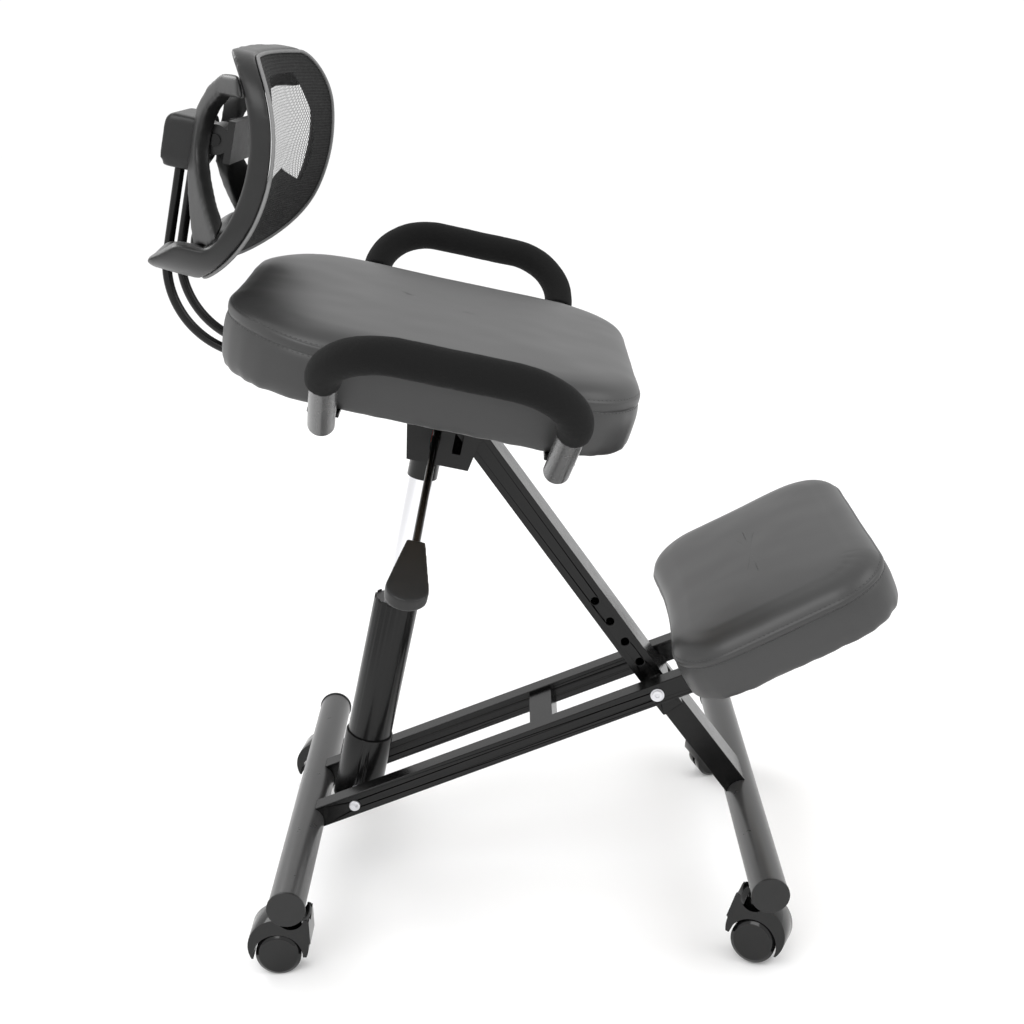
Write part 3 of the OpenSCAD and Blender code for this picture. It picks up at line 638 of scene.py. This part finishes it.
def local_place(t, place, matrix):
    """Object coordinates turned into a local frame."""
    turned = t.add("ShaderNodeMapping", {"vector_type": "TEXTURE"}, Vector=place)
    turned.inputs["Location"].default_value = matrix.translation
    turned.inputs["Rotation"].default_value = matrix.to_euler()
    parts = t.add("ShaderNodeSeparateXYZ", Vector=turned.outputs["Vector"])
    return parts.outputs


LATTICE_RISE = 1.05


def hole_lattice(t, y, z, pitch):
    """Distance to the nearest point of a staggered lattice, in pitches."""
    nearest = None
    for shift in (0.0, 0.5):
        across = t.math("SUBTRACT", t.math("FRACT", t.math("MULTIPLY_ADD", y, 1 / pitch, shift)), 0.5)
        upward = t.math("MULTIPLY_ADD", z, 1 / (pitch * LATTICE_RISE), shift)
        upward = t.math("MULTIPLY", t.math("SUBTRACT", t.math("FRACT", upward), 0.5), LATTICE_RISE)
        distance = t.math("SQRT", t.math("ADD", t.math("MULTIPLY", across, across),
                                         t.math("MULTIPLY", upward, upward)))
        nearest = distance if nearest is None else t.math("MINIMUM", nearest, distance)
    return nearest


def knit_material(tone, pitch):
    """Knitted mesh: ribbed border, sheer middle panel with open holes, dense lower part, painted shade in
    the yarn's hollows.
    """
    t, shader, place = new_material("knit", Specular_IOR_Level=0.3)
    _, y, z = local_place(t, place, BACK)
    side = t.math("ABSOLUTE", y)
    soft = 0.0006

    def within(*limits):
        """1 where every limit is above nought."""
        mask = 1.0
        for limit in limits:
            mask = t.math("MULTIPLY", mask, t.spread(limit, -soft, soft, 0.0, 1.0))
        return mask

    rise = t.math("SUBTRACT", z, 0.250)
    belly = t.math("MULTIPLY_ADD", t.math("MULTIPLY", rise, rise), -8.4, 0.102)
    panel = within(
        t.math("SUBTRACT", belly, side),
        t.math("SUBTRACT", 0.327, z),
        t.math("SUBTRACT", z, t.math("MULTIPLY_ADD", side, -0.24, 0.236)),
    )
    holes = t.spread(hole_lattice(t, y, z, pitch), 0.26, 0.32, 1.0, 0.0)
    stitches = t.spread(hole_lattice(t, y, z, pitch * 0.5), 0.20, 0.34, 0.0, 1.0)
    ribs = t.math("SINE", t.math("MULTIPLY", z, 2 * math.pi / 0.0030))
    ribs = t.math("MULTIPLY", t.math("ADD", ribs, 1.0), 0.5)
    yarn = t.math("MULTIPLY_ADD", stitches, 0.5, ribs)
    height = t.math("ADD", t.math("MULTIPLY", panel, t.math("SUBTRACT", 1.0, holes)),
                    t.math("MULTIPLY", t.math("SUBTRACT", 1.0, panel), yarn))
    # Painted shade: lower yarn, rib valleys and the rims of the holes get the darker colour. On the next
    # line it is mixed with random tone.
    shade = t.spread(height, 0.1, 1.3, 0.0, 1.0)
    shade_and_tone = t.math("MULTIPLY", shade, t.spread(t.noise(place, 60.0, 4.0), 0.3, 0.7, 0.7, 1.2))
    t.feed(shader.inputs["Base Color"], t.blend(shade_and_tone, rgba(tone, 0.5), rgba(tone, 2.8)))
    t.feed(shader.inputs["Roughness"], t.spread(t.noise(place, 300.0), 0.3, 0.7, 0.72, 0.9))
    t.feed(shader.inputs["Alpha"], t.math("SUBTRACT", 1.0, t.math("MULTIPLY", panel, holes)))
    relief(t, shader, height, 0.0005)


def plywood_material(tone):
    t, shader, place = new_material("plywood")
    grain = t.add("ShaderNodeMapping", Vector=place, Scale=(14.0, 90.0, 90.0))
    figure = t.noise(grain.outputs["Vector"], 1.0, 6.0, 0.6)
    pores = t.add("ShaderNodeMapping", Vector=place, Scale=(60.0, 900.0, 900.0))
    fine = t.noise(pores.outputs["Vector"], 1.0, 3.0)
    figured = t.spread(figure, 0.35, 0.7, 0.0, 1.0)
    t.feed(shader.inputs["Base Color"], t.blend(figured, rgba(tone), rgba(tone, 0.6)))
    t.feed(shader.inputs["Roughness"], t.spread(fine, 0.3, 0.7, 0.55, 0.8))
    relief(t, shader, t.math("MULTIPLY_ADD", fine, 0.6, figure), 0.0003)


def build_materials():
    colours = bpy.context.scene.chair_colours
    build_grain_group()
    build_tone_group()
    coated("powder_coat", colours.frame, 0.24, 900.0, 0.00004, coarse=0.8, Specular_IOR_Level=0.30)
    coated("satin_tube", colours.tube, 0.30, 1100.0, 0.00003, coarse=0.6)
    coated("satin_handle", colours.handle, 0.26, 1100.0, 0.00003, coarse=0.6)
    coated("moulded_plastic", colours.plastic, 0.38, 1500.0, 0.00006, dust=0.16, Specular_IOR_Level=0.40)
    coated("gloss_plastic", colours.frame, 0.14, 300.0, 0.00002, coarse=0.9, Specular_IOR_Level=0.40)
    coated("foam", colours.foam, 0.92, 1300.0, 0.00035, coarse=0.9, dust=0.25, Specular_IOR_Level=0.25)
    coated("rubber", colours.foam, 0.62, 1200.0, 0.00005)
    # Thread tone lighter than the leather: painted highlight on the stitches.
    coated("thread", colours.thread, 0.55, 2600.0, 0.00010, dust=0.5)
    coated("piping", colours.piping, 0.70, 2400.0, 0.00015, dust=0.2)
    coated("button_red", colours.button, 0.25, 700.0, 0.00003)
    turned_metal("zinc", (0.72, 0.72, 0.74), 0.24, 3200.0, 0.00003)
    turned_metal("chrome", (0.36, 0.36, 0.38), 0.12, 2200.0, 0.000005)
    leather_material(colours.leather)
    knit_material(colours.knit, bpy.context.scene.chair_sizes.mesh_pitch)
    plywood_material(colours.plywood)
    coated("floor_paint", colours.floor, 0.9, 60.0, 0.00002, dust=0.0)


SLOT_FINISH = {
    "frame": "powder_coat", "zinc": "zinc", "chrome": "chrome", "plastic": "moulded_plastic",
    "gloss": "gloss_plastic", "leather": "leather", "wood": "plywood", "rubber": "rubber", "mesh": "knit",
    "red": "button_red", "grey_tube": "satin_tube",
}
NODE_FINISH = {
    "rear_crossbar": "satin_tube", "front_crossbar": "satin_tube", "rear_caps": "moulded_plastic",
    "back_bars": "powder_coat", "tilt_pin": "powder_coat", "near_handle": "satin_handle",
    "far_handle": "satin_handle",
}
BENT_STEEL = (
    "near_rail", "far_rail", "cross_brace", "front_leg", "leg_cheeks", "knee_wedges", "knee_plate",
    "seat_beam", "seat_bracket", "handle_feet", "bar_clamp", "rear_caps", "front_caps", "pivot_bolt",
    "socket_bolt", "seat_pin", "outer_tube", "gas_socket", "seat_screws", "knee_screws",
)


# ---------- operators ----------
class CHAIR_OT_finishes(bpy.types.Operator):
    """Build the finishes and put them on the parts of the frame"""

    bl_idname = "chair.finishes"
    bl_label = "Finishes"

    def execute(self, context):
        build_materials()
        for name, node in NODES.items():
            finish = NODE_FINISH.get(name, SLOT_FINISH[SLOT_OF[name]])
            node.data.materials.clear()
            node.data.materials.append(bpy.data.materials[finish])
        return {"FINISHED"}


class CHAIR_OT_edges(bpy.types.Operator):
    """Round the edges of the steel parts the way bending and coating leave them"""

    bl_idname = "chair.edges"
    bl_label = "Rounded steel edges"

    def execute(self, context):
        width = context.scene.chair_sizes.edge_round
        names = list(BENT_STEEL) + [f"hood_{c}" for c in CASTERS] + [f"wheels_{c}" for c in CASTERS]
        for name in names:
            node = NODES[name]
            weld = node.modifiers.new("Weld", "WELD")
            weld.merge_threshold = 0.00002
            bevel = node.modifiers.new("Bevel", "BEVEL")
            bevel.width = width
            bevel.segments = 2
            bevel.limit_method = "ANGLE"
            bevel.angle_limit = math.radians(35)
        return {"FINISHED"}


class CHAIR_OT_seat_cushion(bpy.types.Operator):
    """Seat cushion with a sewn band of two seams, a crowned top and a stapled lower edge"""

    bl_idname = "chair.seat_cushion"
    bl_label = "Seat cushion"

    def execute(self, context):
        seat = seat_shape()
        profile = (
            (11, -1.0), (4, 0.4), (1.2, 4.5), (0.3, 11), (-0.4, 20), (-1.2, 32), (-0.6, 42), (0.9, 46.4),
            (1.1, 47.0), (0.2, 47.6), (-0.3, 49.5), (-0.4, 52), (-0.3, 54.5), (0.3, 56.4), (1.3, 57.0),
            (1.6, 57.8),
        )
        piece = cushion_piece("seat_cushion_cover", seat, 13.4, 12.4, profile, (57.8, 72.2, 74.6, 176))
        apply_modifier(piece, "SUBSURF", levels=1, render_levels=1)
        mark = Vector((-0.055, 0.03, 0.13))
        folds = [(mark, mark + Vector((0.004, 0.006, 0)), 0.005, 0.0016)]
        for side in (-1, 1):
            for k in range(4):
                turn = math.radians(198 + 16 * k)
                across = -0.088 + 0.112 * math.sin(turn)
                corner = Vector((seat.x0 * MM + 0.112 + 0.112 * math.cos(turn), side * across, 0.107))
                inward = Vector((math.cos(turn), side * math.sin(turn), 0))
                low_end = corner - Vector((0, 0, 0.004))
                high_end = corner - inward * 0.022 + Vector((0, 0, 0.018))
                folds.append((low_end, high_end, 0.0032, 0.0012))
        displace(piece, leather_relief(seat, folds, 0.5))
        finish_piece(piece, "seat", "leather")
        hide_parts("seat_cushion")
        stitch_rows("seat_stitches", seat, ((1.0, 45.4), (1.2, 58.4)), piece, "seat")
        return {"FINISHED"}


class CHAIR_OT_knee_cushion(bpy.types.Operator):
    """Knee pad with a scooped rear edge, a sewn band and creases at its corners"""

    bl_idname = "chair.knee_cushion"
    bl_label = "Knee cushion"

    def execute(self, context):
        knee = knee_shape()
        profile = (
            (9, -0.9), (3.5, 0.4), (1.2, 4.5), (0.3, 11), (-0.3, 20), (-0.9, 30), (-0.3, 39), (0.9, 43.0),
            (1.1, 43.6), (0.2, 44.2), (-0.2, 45.5), (-0.2, 48), (0.2, 49.4), (1.2, 50.0), (1.5, 50.8),
        )
        piece = cushion_piece("knee_cushion_cover", knee, 11.4, 12.4, profile, (50.8, 68.0, 72.0, 112))
        apply_modifier(piece, "SUBSURF", levels=1, render_levels=1)
        folds = []
        for k in range(5):
            turn = math.radians(-80 + 18 * k)
            corner = Vector((0.178 + 0.060 * math.cos(turn), -0.103 + 0.060 * math.sin(turn), 0.056))
            inward = Vector((math.cos(turn), math.sin(turn), 0))
            folds.append((corner, corner - inward * 0.030 + Vector((0, 0, 0.014)), 0.003, 0.0011))
        displace(piece, leather_relief(knee, folds, 0.4))
        finish_piece(piece, "base", "leather")
        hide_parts("knee_cushion")
        stitch_rows("knee_stitches", knee, ((1.0, 42.0), (1.2, 51.2)), piece, "base")
        return {"FINISHED"}


class CHAIR_OT_grips(bpy.types.Operator):
    """Foam grips with rounded ends and a slightly uneven skin"""

    bl_idname = "chair.grips"
    bl_label = "Hand grips"

    def execute(self, context):
        for side in ("near", "far"):
            piece = moulded_copy(f"{side}_grip", f"{side}_foam_grip", 0.0024, 5)

            def swell(place, normal):
                wide = noise.noise(place * 38.0) * 0.45 + noise.noise(place * 130.0) * 0.16
                return normal * (0.35 + wide) * MM

            displace(piece, swell)
            finish_piece(piece, "seat", "foam")
            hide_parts(f"{side}_grip")
        return {"FINISHED"}


class CHAIR_OT_back_frame(bpy.types.Operator):
    """Moulded parts of the back rest and the lever paddle, with soft edges"""

    bl_idname = "chair.back_frame"
    bl_label = "Moulded parts"

    def execute(self, context):
        parts = (
            ("back_ring", "back_frame", 0.0022, 20), ("back_struts", "back_yoke", 0.0020, 40),
            ("slide_housing", "slide_cover", 0.0018, 60), ("lever_paddle", "release_paddle", 0.0012, 24),
        )
        for node, name, voxel, passes in parts:
            piece = moulded_copy(node, name, voxel, passes)
            if node == "back_ring":
                soften(piece, 70, behind_face)
            finish_piece(piece, BODY_OF[node], "moulded_plastic")
            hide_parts(node)
        return {"FINISHED"}


class CHAIR_OT_back_mesh(bpy.types.Operator):
    """Stretched knitted mesh with a sheer panel, and the piping that holds it"""

    bl_idname = "chair.back_mesh"
    bl_label = "Back mesh"

    def execute(self, context):
        rings = []
        for k in range(15):
            inset = 3 + 104 * (k / 14)
            proud = 1.2 + 0.8 * smoothstep(0, 12, inset - 3)
            rings.append([back_surface(y, w, proud) for y, w in back_outline(inset, 24)])
        sheet = lofted("back_knit", rings, BACK, False, True)
        apply_modifier(sheet, "SUBSURF", levels=1, render_levels=1)
        finish_piece(sheet, "back", "knit")
        loop = [BACK @ back_surface(y, w, 2.0) for y, w in back_outline(2.5, 24)]
        curve = bpy.data.curves.new("back_piping", "CURVE")
        curve.dimensions = "3D"
        curve.bevel_depth = context.scene.chair_sizes.piping / 2
        curve.bevel_resolution = 3
        spline = curve.splines.new("POLY")
        spline.points.add(len(loop) - 1)
        for point, at in zip(spline.points, loop):
            point.co = (*at, 1.0)
        spline.use_cyclic_u = True
        piping = bpy.data.objects.new("back_piping", curve)
        context.scene.collection.objects.link(piping)
        only(piping)
        bpy.ops.object.convert(target="MESH")
        piping = context.active_object
        finish_piece(piping, "back", "piping")
        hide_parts("back_mesh")
        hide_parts("back_binding")
        return {"FINISHED"}


class CHAIR_OT_studio(bpy.types.Operator):
    """Pale floor, soft lights and the camera"""

    bl_idname = "chair.studio"
    bl_label = "Studio"

    def execute(self, context):
        scene = context.scene
        scene.view_settings.view_transform = "Standard"
        bpy.ops.object.select_all(action="DESELECT")
        bpy.ops.mesh.primitive_circle_add(vertices=96, radius=9, fill_type="NGON", location=(0, 0, 0))
        floor = context.active_object
        floor.name = "studio_floor"
        floor.data.materials.append(bpy.data.materials["floor_paint"])
        world = bpy.data.worlds.new("studio_sky")
        world.use_nodes = True
        world.node_tree.nodes["Background"].inputs["Color"].default_value = (1, 1, 1, 1)
        world.node_tree.nodes["Background"].inputs["Strength"].default_value = 1.04
        scene.world = world
        for name, place, size, power in (
            ("key_light", (-0.9, -1.9, 2.4), 1.6, 26), ("fill_light", (1.8, -0.6, 1.8), 1.4, 12),
            ("rim_light", (-1.6, 1.4, 2.0), 1.2, 16),
        ):
            bpy.ops.object.light_add(type="AREA", location=place)
            light = context.active_object
            light.name = name
            light.data.size = size
            light.data.energy = power
            light.rotation_euler = (Vector((0, 0, 0.4)) - Vector(place)).to_track_quat("-Z", "Y").to_euler()
        data = bpy.data.cameras.new("camera")
        data.sensor_width = 36
        data.lens = 52.506
        data.shift_x = -0.0322
        data.shift_y = -0.0413
        camera = bpy.data.objects.new("camera", data)
        scene.collection.objects.link(camera)
        pitch, turn, roll = math.radians(18.0286), math.radians(0.6825), math.radians(-1.2398)
        level = math.cos(pitch)
        ahead = Vector((math.sin(turn) * level, math.cos(turn) * level, -math.sin(pitch)))
        right = Vector((math.cos(turn), -math.sin(turn), 0))
        up = right.cross(ahead)
        right, up = (
            math.cos(roll) * right + math.sin(roll) * up,
            math.cos(roll) * up - math.sin(roll) * right,
        )
        camera.matrix_world = (
            Matrix.Translation((-0.00633, -1.5464, 0.9905))
            @ Matrix((right, up, -ahead)).transposed().to_4x4()
        )
        scene.camera = camera
        return {"FINISHED"}


STEPS = (
    CHAIR_OT_finishes, CHAIR_OT_edges, CHAIR_OT_seat_cushion, CHAIR_OT_knee_cushion, CHAIR_OT_grips,
    CHAIR_OT_back_frame, CHAIR_OT_back_mesh, CHAIR_OT_studio,
)


class CHAIR_PT_build(bpy.types.Panel):
    """Sizes, colours and steps of the chair"""

    bl_idname = "CHAIR_PT_build"
    bl_label = "Kneeling Chair"
    bl_space_type = "VIEW_3D"
    bl_region_type = "UI"
    bl_category = "Chair"

    def draw(self, context):
        for settings in (context.scene.chair_sizes, context.scene.chair_colours):
            for name in settings.__annotations__:
                self.layout.prop(settings, name)
        for step in STEPS:
            self.layout.operator(step.bl_idname)


CLASSES = (ChairSizes, ChairColours, *STEPS, CHAIR_PT_build)


def register():
    for item in CLASSES:
        bpy.utils.register_class(item)
    bpy.types.Scene.chair_sizes = bpy.props.PointerProperty(type=ChairSizes)
    bpy.types.Scene.chair_colours = bpy.props.PointerProperty(type=ChairColours)


def unregister():
    del bpy.types.Scene.chair_colours
    del bpy.types.Scene.chair_sizes
    for item in reversed(CLASSES):
        bpy.utils.unregister_class(item)


def main():
    register()
    bpy.ops.chair.finishes()
    bpy.ops.chair.edges()
    bpy.ops.chair.seat_cushion()
    bpy.ops.chair.knee_cushion()
    bpy.ops.chair.grips()
    bpy.ops.chair.back_frame()
    bpy.ops.chair.back_mesh()
    bpy.ops.chair.studio()


if __name__ == "__main__":
    main()
